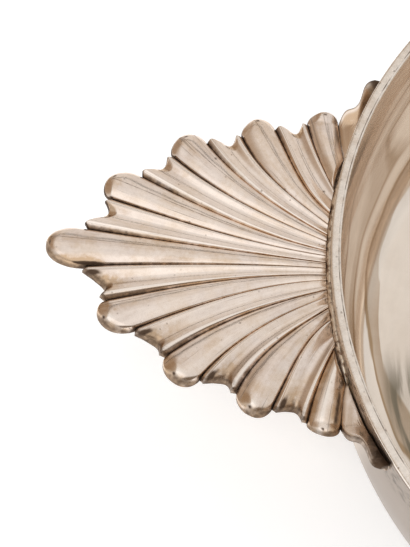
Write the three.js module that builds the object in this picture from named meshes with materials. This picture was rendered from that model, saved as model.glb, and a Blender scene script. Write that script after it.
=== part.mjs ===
import * as THREE from "three";

// Two-eared silver bowl. Millimetres, Z up, the table at z = 0, the bowl's axis on the Z axis.
// The ears lie on the X axis, and each is the same casting, turned half a turn.

// Bowl and rim
const rimRadius = 85;
const bowlHeight = 46;
const rimWidth = 1.6;
const rimDepth = 1.8;
const rimOverhang = 0.1;
const wallThickness = 1.2;
const wallStraight = 12;
const wallTaper = 0.05;
const bendWidth = 12;
const floorHollow = 0.6;
const hollowSlope = 1.2;
const restRingWidth = 12;
const roundSegments = 72;
const bendSteps = 9;
const rimSteps = 6;

// Places where one piece meets the next
const fitGap = 0.3;
const solderWidth = 0.8;
const solderClimb = 0.4;
const seamSteps = 24;

// Ear, measured out from the rim (out), across from its centre line (across) and up from the table
const earRootDrop = 4.4;
const earRise = 0.147;
const earCurl = 0.00056;
const earSideDrop = 0.00064;
const sideSag = 0.8;
const sideSagReach = 10;
const leafLiftFrom = 33;
const leafLiftSlope = 0.52;
const earEdgeThickness = 1.7;
const earRootThickness = 3.2;
const thinFrom = 0.5;
const edgeDrop = 0.35;
const noseLength = 2.2;
const noseShareLimit = 0.4;
const noseSkew = 0.2;
const noseBluntness = 0.45;
const undercut = 1.3;
const undercutShareLimit = 0.3;
const rootRounding = 1.2;
const rootFullness = 0.4;
const lobeCrown = 0.42;
const ridgeRise = 0.28;
const rayPull = 0.34;

// The middle lobe, which stands furthest out
const middleLobe = { noseReach: 8 };

// Grooves of one half, from the middle lobe to the side leaf. Each leaves the bowl at rootAcross
// and rootAngle and ends at tipOut, tipAcross and tipAngle. Angles are in degrees from the centre line.
const grooves = [
  { rootAcross: 0.65, rootAngle: 2, tipOut: 47.4, tipAcross: 4, tipAngle: 6 },
  { rootAcross: 2.1, rootAngle: 4, tipOut: 43.2, tipAcross: 11.1, tipAngle: 16 },
  { rootAcross: 3.3, rootAngle: 8, tipOut: 37.4, tipAcross: 16.6, tipAngle: 27 },
  { rootAcross: 5.3, rootAngle: 19, tipOut: 31.3, tipAcross: 21.8, tipAngle: 41 },
  { rootAcross: 6.8, rootAngle: 26, tipOut: 24.8, tipAcross: 25.8, tipAngle: 55 },
  { rootAcross: 9.2, rootAngle: 36, tipOut: 17.7, tipAcross: 28, tipAngle: 67 },
  { rootAcross: 11.8, rootAngle: 39, tipOut: 11, tipAcross: 30.6, tipAngle: 64 },
  { rootAcross: 17.3, rootAngle: 64, tipOut: 4.3, tipAcross: 32.7, tipAngle: 76 },
  { rootAcross: 24.2, rootAngle: 78, tipOut: -2.1, tipAcross: 33.4, tipAngle: 86 },
];

// Between the grooves a hollow flute and a round lobe take turns. A flute's two sharp ridges stand
// at a share of its width, nearReach and farReach past the groove ends, and its end is cut back.
const flutes = [
  { nearReach: 1.3, farReach: 0.7, cutBack: 2 },
  { nearReach: 1, farReach: 0.6, cutBack: 1.2 },
  { nearReach: 0.6, farReach: 0.4, cutBack: 1.7 },
  { nearReach: 0.4, farReach: 0.3, cutBack: 1.7 },
];
const ridgeShare = 0.15;
const lobes = [
  { noseReach: 4.2 },
  { noseReach: 3.4 },
  { noseReach: 3 },
  { noseReach: 2.3 },
];

// The side leaf, which clings to the wall, climbs towards the rim and ends in a point with a wavy edge
const leaf = { rootAcross: 41.8, rootAngle: 60, tipOut: -9.3, tipAcross: 42.4, tipAngle: 60 };
const leafRise = 0.9;
const leafCrestEnd = 0.83;
const leafWaveReach = 0.4;
const leafWaves = 1.5;

// Faces of the ear: columns across each lobe, flute and leaf, and rows along the rays. The underside
// has three rows, and its middle one lies under the top row of that number.
const lobeSteps = 8;
const hollowSteps = 4;
const leafSteps = 6;
const rowShares = [0, 0.08, 0.25, 0.45, 0.65, 0.84, 1];
const noseShares = [0.5, 0.85, 1];
const underRow = 3;
const slopeStep = 0.02;

const wallRadius = rimRadius - rimOverhang;
const rimBottom = bowlHeight - rimDepth;
const wallBottomRadius = wallRadius - wallTaper;
const bendTop = rimBottom - wallStraight;
const seamInner = wallRadius + fitGap;
const seamOuter = seamInner + solderWidth;
const earRootRadius = seamOuter + fitGap;

const silver = (name, color, roughness) =>
  new THREE.MeshStandardMaterial({ name, color, roughness, metalness: 1 });
const degrees = THREE.MathUtils.degToRad;
const mix = THREE.MathUtils.lerp;

// A ring turned about the Z axis from a profile of [radius, height] points
function turned(profile, segments) {
  const points = profile.map(([radius, height]) => new THREE.Vector2(radius, height));
  const geometry = new THREE.LatheGeometry(points, segments);
  geometry.rotateX(Math.PI / 2);
  return geometry;
}

// Points of a bend: a quarter of an ellipse from the floor's edge to the foot of the wall
function bend(radius, width, low, high) {
  const points = [];
  for (let step = 0; step <= bendSteps; step += 1) {
    const angle = (step / bendSteps) * Math.PI / 2;
    points.push([radius - width * (1 - Math.sin(angle)), low + (high - low) * (1 - Math.cos(angle))]);
  }
  return points;
}

// The bowl: a raised shell with a slightly hollow floor that stands on a flat ring
function bowlGeometry() {
  const innerTop = wallRadius - wallThickness;
  const innerBottom = wallBottomRadius - wallThickness;
  const floorRadius = wallBottomRadius - bendWidth;
  const outer = bend(wallBottomRadius, bendWidth, 0, bendTop);
  const inner = bend(innerBottom, bendWidth, wallThickness, bendTop).reverse();
  const profile = [
    [0, floorHollow],
    [floorRadius - restRingWidth, floorHollow],
    [floorRadius - restRingWidth + hollowSlope, 0],
    ...outer,
    [wallRadius, rimBottom],
    [innerTop, rimBottom],
    ...inner,
    [floorRadius - restRingWidth, wallThickness + floorHollow],
    [0, wallThickness + floorHollow],
  ];
  return turned(profile, roundSegments);
}

// The rim: a half-round wire that lies on the wall's top edge
function rimGeometry() {
  const inner = rimRadius - rimWidth;
  const middle = rimRadius - rimWidth / 2;
  const shoulder = rimDepth - rimWidth / 2;
  const profile = [[inner, rimBottom], [rimRadius, rimBottom]];
  for (let step = 0; step <= rimSteps; step += 1) {
    const angle = (step / rimSteps) * Math.PI;
    profile.push([
      middle + (rimWidth / 2) * Math.cos(angle),
      rimBottom + shoulder + (rimWidth / 2) * Math.sin(angle),
    ]);
  }
  profile.push([inner, rimBottom]);
  return turned(profile, roundSegments);
}

// Where the ear's root lies at a distance across, on the circle that leaves room for the solder
function rootPoint(across) {
  return [Math.sqrt(earRootRadius ** 2 - across ** 2) - rimRadius, across];
}

// A point of a ray at a share of its length: a cubic curve from the root to the tip
function rayPoint(ray, share) {
  const [rootOut, rootAcross] = rootPoint(ray.rootAcross);
  const pull = rayPull * Math.hypot(ray.tipOut - rootOut, ray.tipAcross - rootAcross);
  const rootAngle = degrees(ray.rootAngle);
  const tipAngle = degrees(ray.tipAngle);
  const curve = new THREE.CubicBezierCurve(
    new THREE.Vector2(rootOut, rootAcross),
    new THREE.Vector2(rootOut + pull * Math.cos(rootAngle), rootAcross + pull * Math.sin(rootAngle)),
    new THREE.Vector2(ray.tipOut - pull * Math.cos(tipAngle), ray.tipAcross - pull * Math.sin(tipAngle)),
    new THREE.Vector2(ray.tipOut, ray.tipAcross),
  );
  return curve.getPoint(share);
}

// The ray that lies at a share of the way from one ray to the next, with its tip pushed out
function rayBetween(near, far, share, reach) {
  const tipAngle = mix(near.tipAngle, far.tipAngle, share);
  return {
    rootAcross: mix(near.rootAcross, far.rootAcross, share),
    rootAngle: mix(near.rootAngle, far.rootAngle, share),
    tipOut: mix(near.tipOut, far.tipOut, share) + reach * Math.cos(degrees(tipAngle)),
    tipAcross: mix(near.tipAcross, far.tipAcross, share) + reach * Math.sin(degrees(tipAngle)),
    tipAngle,
  };
}

// Half the width between two rays, square to their run, at a share of their length
function halfWidth(near, far, share) {
  const start = rayPoint(near, share);
  const across = rayPoint(far, share).sub(start);
  const ahead = rayPoint(near, Math.min(1, share + slopeStep));
  const along = ahead.sub(rayPoint(near, Math.max(0, share - slopeStep)));
  return Math.abs(across.cross(along.normalize())) / 2;
}

// Columns of a round lobe between two grooves, both grooves included
function lobeColumns(near, far, noseReach, skew) {
  const columns = [];
  for (let step = 0; step <= lobeSteps; step += 1) {
    const turn = (step / lobeSteps) * Math.PI;
    const reach = noseReach * Math.sin(turn) * (1 - skew * Math.cos(turn));
    const ray = rayBetween(near, far, (1 - Math.cos(turn)) / 2, reach);
    const round = (Math.sin(turn) + Math.sin(turn) ** 2) / 2;
    columns.push({ ray, rise: (share) => lobeCrown * halfWidth(near, far, share) * round });
  }
  return columns;
}

// Columns of a hollow flute, from its first ridge to its second
function fluteColumns(near, far, flute) {
  const columns = [];
  for (let step = 0; step <= hollowSteps; step += 1) {
    const place = step / hollowSteps;
    const hollow = Math.sin(place * Math.PI);
    const reach = mix(flute.nearReach, flute.farReach, place) - hollow * flute.cutBack;
    const ray = rayBetween(near, far, mix(ridgeShare, 1 - ridgeShare, place), reach);
    columns.push({ ray, rise: (share) => ridgeRise * halfWidth(near, far, share) * (1 - hollow) });
  }
  return columns;
}

// Columns of the side leaf, from the last groove to its point on the wall
function leafColumns(near) {
  const columns = [];
  for (let step = 1; step <= leafSteps; step += 1) {
    const place = step / leafSteps;
    const wave = leafWaveReach * Math.sin(place * Math.PI * 2 * leafWaves);
    const ray = rayBetween(near, leaf, place, wave);
    const round = Math.sin(Math.min(1, place / leafCrestEnd) * Math.PI);
    columns.push({ ray, rise: () => leafRise * Math.max(0, round) });
  }
  return columns;
}

// All columns of one half, from the middle lobe's crest to the leaf's point
function halfColumns() {
  const mirrored = { ...grooves[0], rootAcross: -grooves[0].rootAcross, rootAngle: -grooves[0].rootAngle };
  mirrored.tipAcross = -grooves[0].tipAcross;
  mirrored.tipAngle = -grooves[0].tipAngle;
  const middle = lobeColumns(mirrored, grooves[0], middleLobe.noseReach, 0);
  const columns = middle.slice(lobeSteps / 2);
  flutes.forEach((flute, index) => {
    const near = grooves[index * 2];
    const far = grooves[index * 2 + 1];
    columns.push(...fluteColumns(near, far, flute));
    columns.push(...lobeColumns(far, grooves[index * 2 + 2], lobes[index].noseReach, noseSkew));
  });
  columns.push(...leafColumns(grooves[grooves.length - 1]));
  return columns;
}

// Height of the ear's ground, from which lobes and ridges rise
function groundHeight(out, across) {
  const leafLift = leafLiftSlope * Math.max(0, Math.abs(across) - leafLiftFrom);
  const rise = earRise * out - earCurl * out ** 2;
  const sag = 1 + sideSag * Math.exp(-((out / sideSagReach) ** 2));
  return bowlHeight - earRootDrop + rise - earSideDrop * across ** 2 * sag + leafLift;
}

// One ear, running out along -X
function earGeometry() {
  const half = halfColumns();
  const columns = [...half.slice(1).reverse().map((column) => ({ ...column, side: 1 })),
    ...half.map((column) => ({ ...column, side: -1 }))];
  const rows = rowShares.length + noseShares.length;
  const top = [];
  const bottom = [];
  const positions = [];
  const add = (list, point) => {
    list.push(positions.length / 3);
    positions.push(...point);
  };
  columns.forEach(({ ray, rise, side }) => {
    const [rootOut, rootAcross] = rootPoint(ray.rootAcross);
    const length = Math.hypot(ray.tipOut - rootOut, ray.tipAcross - rootAcross);
    const nose = Math.min(noseLength / length, noseShareLimit);
    const edge = 1 - Math.min(undercut / length, undercutShareLimit);
    const shares = rowShares.map((share) => share * (1 - nose));
    shares.push(...noseShares.map((share) => 1 - nose * (1 - share)));
    const topColumn = [];
    const bottomColumn = [];
    shares.forEach((share, row) => {
      const point = rayPoint(ray, share);
      const ground = groundHeight(point.x, point.y);
      const rooted = 1 - Math.exp(-share * length / rootRounding);
      const pastNose = Math.max(0, (share - (1 - nose)) / nose);
      const kept = mix(noseBluntness, 1, Math.sqrt(Math.max(0, 1 - pastNose ** 2)));
      const relief = rise(share) * mix(rootFullness, 1, rooted) + edgeDrop;
      const height = ground - edgeDrop + relief * kept;
      add(topColumn, [-rimRadius - point.x, side * point.y, height]);
      if (row === 0 || row === underRow || row === rows - 1) {
        const thickness = mix(earRootThickness, earEdgeThickness, Math.min(1, share / thinFrom));
        const under = rayPoint(ray, Math.min(share, edge));
        add(bottomColumn, [-rimRadius - under.x, side * under.y, ground - thickness]);
      }
    });
    top.push(topColumn);
    bottom.push(bottomColumn);
  });
  const faces = [];
  const quad = (a, b, c, d) => faces.push(a, b, c, a, c, d);
  for (let column = 0; column < columns.length - 1; column += 1) {
    for (let row = 0; row < rows - 1; row += 1) {
      quad(top[column][row], top[column][row + 1], top[column + 1][row + 1], top[column + 1][row]);
    }
    for (let row = 0; row < 2; row += 1) {
      quad(bottom[column][row], bottom[column + 1][row], bottom[column + 1][row + 1], bottom[column][row + 1]);
    }
    quad(top[column][0], top[column + 1][0], bottom[column + 1][0], bottom[column][0]);
    quad(top[column][rows - 1], bottom[column][2], bottom[column + 1][2], top[column + 1][rows - 1]);
  }
  const last = columns.length - 1;
  for (let row = 0; row < rows - 1; row += 1) {
    faces.push(top[0][row], bottom[0][1], top[0][row + 1]);
    faces.push(top[last][row], top[last][row + 1], bottom[last][1]);
  }
  faces.push(top[0][0], bottom[0][0], bottom[0][1], top[0][rows - 1], bottom[0][1], bottom[0][2]);
  faces.push(top[last][0], bottom[last][1], bottom[last][0]);
  faces.push(top[last][rows - 1], bottom[last][2], bottom[last][1]);
  const geometry = new THREE.BufferGeometry();
  geometry.setAttribute("position", new THREE.Float32BufferAttribute(positions, 3));
  geometry.setIndex(faces);
  geometry.computeVertexNormals();
  return geometry;
}

// The solder between the bowl's wall and one ear's root, as high as the root
function seamGeometry() {
  const positions = [];
  const faces = [];
  const endAngle = Math.asin(leaf.rootAcross / earRootRadius);
  for (let step = 0; step <= seamSteps; step += 1) {
    const angle = mix(-endAngle, endAngle, step / seamSteps);
    const across = earRootRadius * Math.sin(angle);
    const out = earRootRadius * Math.cos(angle) - rimRadius;
    const high = groundHeight(out, across);
    for (const [radius, height] of [
      [seamInner, high - earRootThickness],
      [seamInner, high + solderClimb],
      [seamOuter, high],
      [seamOuter, high - earRootThickness],
    ]) {
      positions.push(-radius * Math.cos(angle), radius * Math.sin(angle), height);
    }
  }
  const corners = 4;
  const corner = (step, index) => step * corners + (index % corners);
  for (let step = 0; step < seamSteps; step += 1) {
    for (let index = 0; index < corners; index += 1) {
      const a = corner(step, index);
      const b = corner(step, index + 1);
      const c = corner(step + 1, index + 1);
      const d = corner(step + 1, index);
      faces.push(a, c, b, a, d, c);
    }
  }
  faces.push(0, 1, 2, 0, 2, 3);
  const end = seamSteps * corners;
  faces.push(end, end + 2, end + 1, end, end + 3, end + 2);
  const geometry = new THREE.BufferGeometry();
  geometry.setAttribute("position", new THREE.Float32BufferAttribute(positions, 3));
  geometry.setIndex(faces);
  geometry.computeVertexNormals();
  return geometry;
}

const bowlSilver = silver("raised_silver", 0xcfc3b2, 0.24);
const rimSilver = silver("rim_silver", 0xded3c4, 0.3);
const castSilver = silver("cast_silver", 0xcdbba8, 0.28);
const solderSilver = silver("solder", 0xa88f74, 0.45);

function piece(name, geometry, material, turn = 0) {
  const mesh = new THREE.Mesh(geometry, material.clone());
  mesh.name = name;
  mesh.rotation.z = turn;
  return mesh;
}

const ecuelle = new THREE.Group();
ecuelle.add(piece("bowl", bowlGeometry(), bowlSilver));
ecuelle.add(piece("rim_wire", rimGeometry(), rimSilver));
ecuelle.add(piece("ear_left", earGeometry(), castSilver));
ecuelle.add(piece("ear_right", earGeometry(), castSilver, Math.PI));
ecuelle.add(piece("solder_seam_left", seamGeometry(), solderSilver));
ecuelle.add(piece("solder_seam_right", seamGeometry(), solderSilver, Math.PI));

export default ecuelle;
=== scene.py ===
import bpy
import math
import numpy as np
from mathutils import Matrix, Vector


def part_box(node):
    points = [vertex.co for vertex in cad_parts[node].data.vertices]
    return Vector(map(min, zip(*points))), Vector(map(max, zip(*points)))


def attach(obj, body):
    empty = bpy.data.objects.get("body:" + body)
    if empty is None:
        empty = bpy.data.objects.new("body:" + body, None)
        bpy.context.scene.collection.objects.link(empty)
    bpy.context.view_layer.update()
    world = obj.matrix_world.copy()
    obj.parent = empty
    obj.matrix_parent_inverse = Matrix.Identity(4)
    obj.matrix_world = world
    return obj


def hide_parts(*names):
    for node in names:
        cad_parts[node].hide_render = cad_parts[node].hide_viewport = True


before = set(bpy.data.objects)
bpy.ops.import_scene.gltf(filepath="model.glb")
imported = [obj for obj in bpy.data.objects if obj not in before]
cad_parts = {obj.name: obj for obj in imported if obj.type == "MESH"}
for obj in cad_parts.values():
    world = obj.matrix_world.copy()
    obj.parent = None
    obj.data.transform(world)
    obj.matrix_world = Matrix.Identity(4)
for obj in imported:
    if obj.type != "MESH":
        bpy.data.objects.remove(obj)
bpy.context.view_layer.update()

from types import SimpleNamespace

mm = 0.001
scene = bpy.context.scene

# Sizes that every piece shares, read from the frame
rimLow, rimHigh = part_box("rim_wire")
rimRadius, rimTop, rimSeat = rimHigh.x, rimHigh.z, rimLow.z
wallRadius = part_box("bowl")[1].x


def deselectAll():
    if bpy.context.object and bpy.context.object.mode == "EDIT":
        bpy.ops.object.mode_set(mode="OBJECT")
    bpy.ops.object.select_all(action="DESELECT")


def chooseOnly(piece):
    deselectAll()
    piece.select_set(True)
    bpy.context.view_layer.objects.active = piece


def startPiece(name):
    piece = bpy.context.object
    piece.name = name
    piece.data.name = name
    return piece


def applyModifier(piece, kind, name, **settings):
    modifier = piece.modifiers.new(name, kind)
    for key, value in settings.items():
        setattr(modifier, key, value)
    chooseOnly(piece)
    bpy.ops.object.modifier_apply(modifier=name)


def cleanMesh(piece, distance):
    chooseOnly(piece)
    bpy.ops.object.mode_set(mode="EDIT")
    bpy.ops.mesh.select_all(action="SELECT")
    bpy.ops.mesh.remove_doubles(threshold=distance)
    bpy.ops.mesh.normals_make_consistent(inside=False)
    bpy.ops.object.mode_set(mode="OBJECT")


def smoothByAngle(piece, angle):
    chooseOnly(piece)
    bpy.ops.object.shade_smooth_by_angle(angle=math.radians(angle))


def fillAttribute(mesh, name, kind, field, values):
    mesh.attributes.new(name, kind, "POINT").data.foreach_set(field, np.ascontiguousarray(values).ravel())


def selectVerts(piece, keep):
    # edit mode is left and entered again so that the choice made in code holds
    bpy.ops.object.mode_set(mode="OBJECT")
    mesh = piece.data
    mesh.vertices.foreach_set("select", [keep(vertex.co) for vertex in mesh.vertices])
    for parts in (mesh.edges, mesh.polygons):
        parts.foreach_set("select", np.zeros(len(parts), bool))
    bpy.ops.object.mode_set(mode="EDIT")
    bpy.ops.mesh.select_mode(type="VERT")


# Camera
cameraSettings = {
    "lens": 118.46,          # mm on a 36 mm sensor
    "azimuth": 1.51,         # degrees round from -Y
    "elevation": 63.56,
    "distance": 0.35035,
    "aimOut": -0.12,         # a point over the left ear, at the rim's height
    "slideRight": -0.01056,
    "slideUp": 0.00431,
}


def makeCamera():
    s = cameraSettings
    azimuth = math.radians(s["azimuth"])
    elevation = math.radians(s["elevation"])
    back = Vector((
        math.sin(azimuth) * math.cos(elevation),
        -math.cos(azimuth) * math.cos(elevation),
        math.sin(elevation),
    ))
    right = Vector((math.cos(azimuth), math.sin(azimuth), 0))
    up = back.cross(right)
    data = bpy.data.cameras.new("photoCamera")
    data.lens = s["lens"]
    data.sensor_width = 36
    data.clip_start = 0.01
    camera = bpy.data.objects.new("photoCamera", data)
    scene.collection.objects.link(camera)
    place = Vector((s["aimOut"], 0, rimTop)) - right * s["slideRight"] - up * s["slideUp"]
    place += back * s["distance"]
    turn = Matrix((right, up, back)).transposed().to_4x4()
    camera.matrix_world = Matrix.Translation(place) @ turn
    scene.camera = camera


makeCamera()
print("camera placed")


# Materials
def feed(socket, value):
    # a number or a colour is set on the socket itself, and another node's output is linked to it
    if isinstance(value, (int, float)):
        socket.default_value = value
    elif isinstance(value, tuple):
        socket.default_value = (*value, 1) if socket.type == "RGBA" else value
    else:
        socket.id_data.links.new(value, socket)


def addNode(tree, kind, feeds=None, **settings):
    node = tree.nodes.new(kind)
    for key, value in settings.items():
        setattr(node, key, value)
    for key, value in (feeds or {}).items():
        feed(node.inputs[key], value)
    return node


def addMath(operation, first, *others, clamp=False):
    # more than two values are joined one after another, in the tree that their sockets are in
    tree = next(value.id_data for value in (first, *others) if hasattr(value, "id_data"))
    for other in others or [None]:
        feeds = {0: first} if other is None else {0: first, 1: other}
        first = addNode(tree, "ShaderNodeMath", feeds, operation=operation, use_clamp=clamp).outputs[0]
    return first


def product(*values):
    return addMath("MULTIPLY", *values)


def addRange(value, low, high, toLow=0.0, toHigh=1.0, kind="LINEAR"):
    feeds = {"Value": value, "From Min": low, "From Max": high, "To Min": toLow, "To Max": toHigh}
    return addNode(value.id_data, "ShaderNodeMapRange", feeds, interpolation_type=kind).outputs["Result"]


def addFade(value, low, high, toLow=0.0, toHigh=1.0):
    return addRange(value, low, high, toLow, toHigh, "SMOOTHSTEP")


def addMix(factor, first, second):
    feeds = {0: factor, 6: first, 7: second}
    return addNode(factor.id_data, "ShaderNodeMix", feeds, data_type="RGBA").outputs[2]


def addNoise(vector, scale, detail=4.0, roughness=0.55):
    feeds = {"Vector": vector, "Scale": scale, "Detail": detail, "Roughness": roughness}
    return addNode(vector.id_data, "ShaderNodeTexNoise", feeds).outputs["Fac"]


def addVectorMath(operation, feeds, output=0):
    return addNode(feeds[0].id_data, "ShaderNodeVectorMath", feeds, operation=operation).outputs[output]


def addRamp(value, levels):
    # a grey at each place from 0 to 1, blended in between
    ramp = addNode(value.id_data, "ShaderNodeValToRGB", {"Fac": value})
    elements = ramp.color_ramp.elements
    for position, level in levels[1:-1]:
        elements.new(position)
    for element, (position, level) in zip(elements, levels):
        element.color = (level, level, level, 1)
    return ramp.outputs["Color"]


def addTint(colour, value, low, high):
    # lighter and darker by a value between 0.3 and 0.7
    return addVectorMath("SCALE", {0: colour, "Scale": addRange(value, 0.3, 0.7, low, high)})


def newGroup(name, output, **values):
    # a group that takes a vector and some numbers, and gives one mask or height
    group = bpy.data.node_groups.new(name, "ShaderNodeTree")
    group.interface.new_socket(name="Vector", in_out="INPUT", socket_type="NodeSocketVector")
    for label, value in values.items():
        socket = group.interface.new_socket(name=label, in_out="INPUT", socket_type="NodeSocketFloat")
        socket.default_value = value
    group.interface.new_socket(name=output, in_out="OUTPUT", socket_type="NodeSocketFloat")
    start = group.nodes.new("NodeGroupInput").outputs
    end = group.nodes.new("NodeGroupOutput").inputs[0]
    return group, start, end


def makeTarnishPatches():
    # cloudy brown film that silver keeps where a cloth doesn't reach
    group, start, end = newGroup("tarnishPatches", "Mask", Scale=90.0, Coverage=0.5)
    cloud = addNoise(start["Vector"], start["Scale"], 6.0, 0.6)
    low = addMath("SUBTRACT", 0.85, start["Coverage"])
    high = addMath("ADD", low, 0.25)
    feed(end, addFade(cloud, low, high))
    return group


def makeCastingPits():
    # small round pits, few and far between
    group, start, end = newGroup("castingPits", "Mask", Scale=250.0, Size=0.12, Share=0.1)
    feeds = {"Vector": start["Vector"], "Scale": start["Scale"]}
    cells = addNode(group, "ShaderNodeTexVoronoi", feeds).outputs
    chance = addNode(group, "ShaderNodeSeparateColor", {"Color": cells["Color"]}).outputs
    chosen = addMath("LESS_THAN", chance[0], start["Share"])
    near = addMath("DIVIDE", cells["Distance"], product(start["Size"], chance[1]))
    hole = addMath("SUBTRACT", 1.0, near, clamp=True)
    feed(end, product(hole, chosen))
    return group


def makeRubbingMarks():
    # fine lines from years of polishing, along the first axis of the vector
    group, start, end = newGroup("rubbingMarks", "Height", Scale=900.0, Stretch=0.05)
    stretch = addNode(group, "ShaderNodeCombineXYZ", {"X": start["Stretch"], "Y": 1.0, "Z": 1.0}).outputs[0]
    scaled = addVectorMath("MULTIPLY", {0: start["Vector"], 1: stretch})
    feed(end, addNoise(scaled, start["Scale"], 3.0, 0.5))
    return group


tarnishPatches = makeTarnishPatches()
castingPits = makeCastingPits()
rubbingMarks = makeRubbingMarks()


def placeGroup(group, vector, values):
    feeds = {"Vector": vector, **values}
    return addNode(vector.id_data, "ShaderNodeGroup", feeds, node_tree=group).outputs[0]


def readAttribute(tree, name, output="Fac"):
    return addNode(tree, "ShaderNodeAttribute", attribute_name=name).outputs[output]


def startMaterial(name):
    material = bpy.data.materials.new(name)
    material.use_nodes = True
    return material, addNode(material.node_tree, "ShaderNodeTexCoord").outputs["Object"]


def finishMaterial(material, colour, roughness, height, strength, distance):
    tree = material.node_tree
    bump = addNode(tree, "ShaderNodeBump", {"Height": height, "Strength": strength, "Distance": distance})
    sockets = tree.nodes["Principled BSDF"].inputs
    feed(sockets["Metallic"], 1.0)
    feed(sockets["Base Color"], colour)
    feed(sockets["Roughness"], roughness)
    feed(sockets["Normal"], bump.outputs["Normal"])
    return material


castSilverLook = {
    "bright": (0.96, 0.83, 0.73),
    "wearAndPaintedLight": (0.97, 0.87, 0.78),
    "warm": (0.62, 0.44, 0.29),       # under thick film, and where brown reflections and shade are painted
    "lilac": (0.66, 0.55, 0.50),      # under thin film, in clouds
    "cloudScale": 170.0,
    # dark: dirt, painted shade and the painted reflection line
    "dark": (0.135, 0.088, 0.06),
    "roughness": (0.13, 0.25),        # bare, and under film
    "dirtRoughness": 0.4,
    "patches": {"Scale": 330.0, "Coverage": 0.5},
    "mottle": {"Scale": 1300.0, "Coverage": 0.42},
    "pits": {"Scale": 230.0, "Size": 0.11, "Share": 0.24},
    "specks": {"Scale": 850.0, "Size": 0.26, "Share": 0.22},
    "rubbed": {"Scale": 800.0, "Stretch": 0.09},
    "hairs": {"Scale": 1900.0, "Stretch": 0.025},
    "streaks": {"Scale": 2300.0, "Stretch": 0.07},
    "fineStreaks": {"Scale": 5060.0, "Stretch": 0.12},
    "dirtScale": 900.0,
    "dirtSpread": (-0.13, 0.13),
    "dirtEdge": (0.16, 0.84),         # where the darkening starts to show and where it covers
    "crestWidth": 0.11 * mm,
}


def makeCastSilver():
    s = castSilverLook
    material, place = startMaterial("castSilver")
    tree = material.node_tree
    grimeAndPaintedShade, filmAndPaintedLight, wearAndPaintedLight, crest = (readAttribute(tree, name) for name in ("grimeAndPaintedShade", "filmAndPaintedLight", "wearAndPaintedLight", "crest"))
    flow = readAttribute(tree, "flow", "Vector")
    patches, mottle = (placeGroup(tarnishPatches, place, s[name]) for name in ("patches", "mottle"))
    pits, specks = (placeGroup(castingPits, place, s[name]) for name in ("pits", "specks"))
    pits = addMath("MAXIMUM", pits, product(specks, 0.7))
    rubbed, hairs, streaks, fine = (
        placeGroup(rubbingMarks, flow, s[name]) for name in ("rubbed", "hairs", "streaks", "fineStreaks"))

    filmAndPaintedLight = addMath("MULTIPLY", filmAndPaintedLight, addRange(patches, 0, 1, 0.5, 1.2), clamp=True)
    filmAndPaintedLight = addMath("ADD", filmAndPaintedLight, product(mottle, 0.15), addFade(rubbed, 0.42, 0.66, 0.0, 0.24), clamp=True)
    broken = addRange(addNoise(place, s["dirtScale"], 5.0), 0.3, 0.7, *s["dirtSpread"])
    # a thin dark line along each lobe: a painted reflection
    crest = addFade(addMath("ABSOLUTE", crest), s["crestWidth"], s["crestWidth"] * 0.3, 0.0, 0.75)
    crest = product(crest, addRange(broken, *s["dirtSpread"], 0.2, 1.0))
    # grime holds dirt and painted shade
    darkening = addFade(addMath("ADD", grimeAndPaintedShade, broken), *s["dirtEdge"])
    darkening = addMath("MAXIMUM", darkening, crest, addFade(hairs, 0.37, 0.3, 0.0, 0.4), pits)

    clouds = addFade(addNoise(place, s["cloudScale"], 2.0), 0.42, 0.6, 0.0, 0.85)
    tone = product(clouds, addRange(filmAndPaintedLight, 0.3, 0.9, 1.0, 0.15))
    colour = addMix(filmAndPaintedLight, s["bright"], addMix(tone, s["warm"], s["lilac"]))
    # worn lightens real wear and painted highlights
    colour = addTint(addMix(wearAndPaintedLight, colour, s["wearAndPaintedLight"]), streaks, 0.965, 1.02)
    colour = addMix(darkening, colour, s["dark"])
    rough = addMath("ADD", addRange(filmAndPaintedLight, 0, 1, *s["roughness"]), product(darkening, s["dirtRoughness"]))
    height = addMath("ADD", product(streaks, 0.16), product(fine, 0.07))
    height = addMath("SUBTRACT", height, product(pits, 0.8))
    return finishMaterial(material, colour, rough, height, 0.3, 0.00016)


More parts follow.
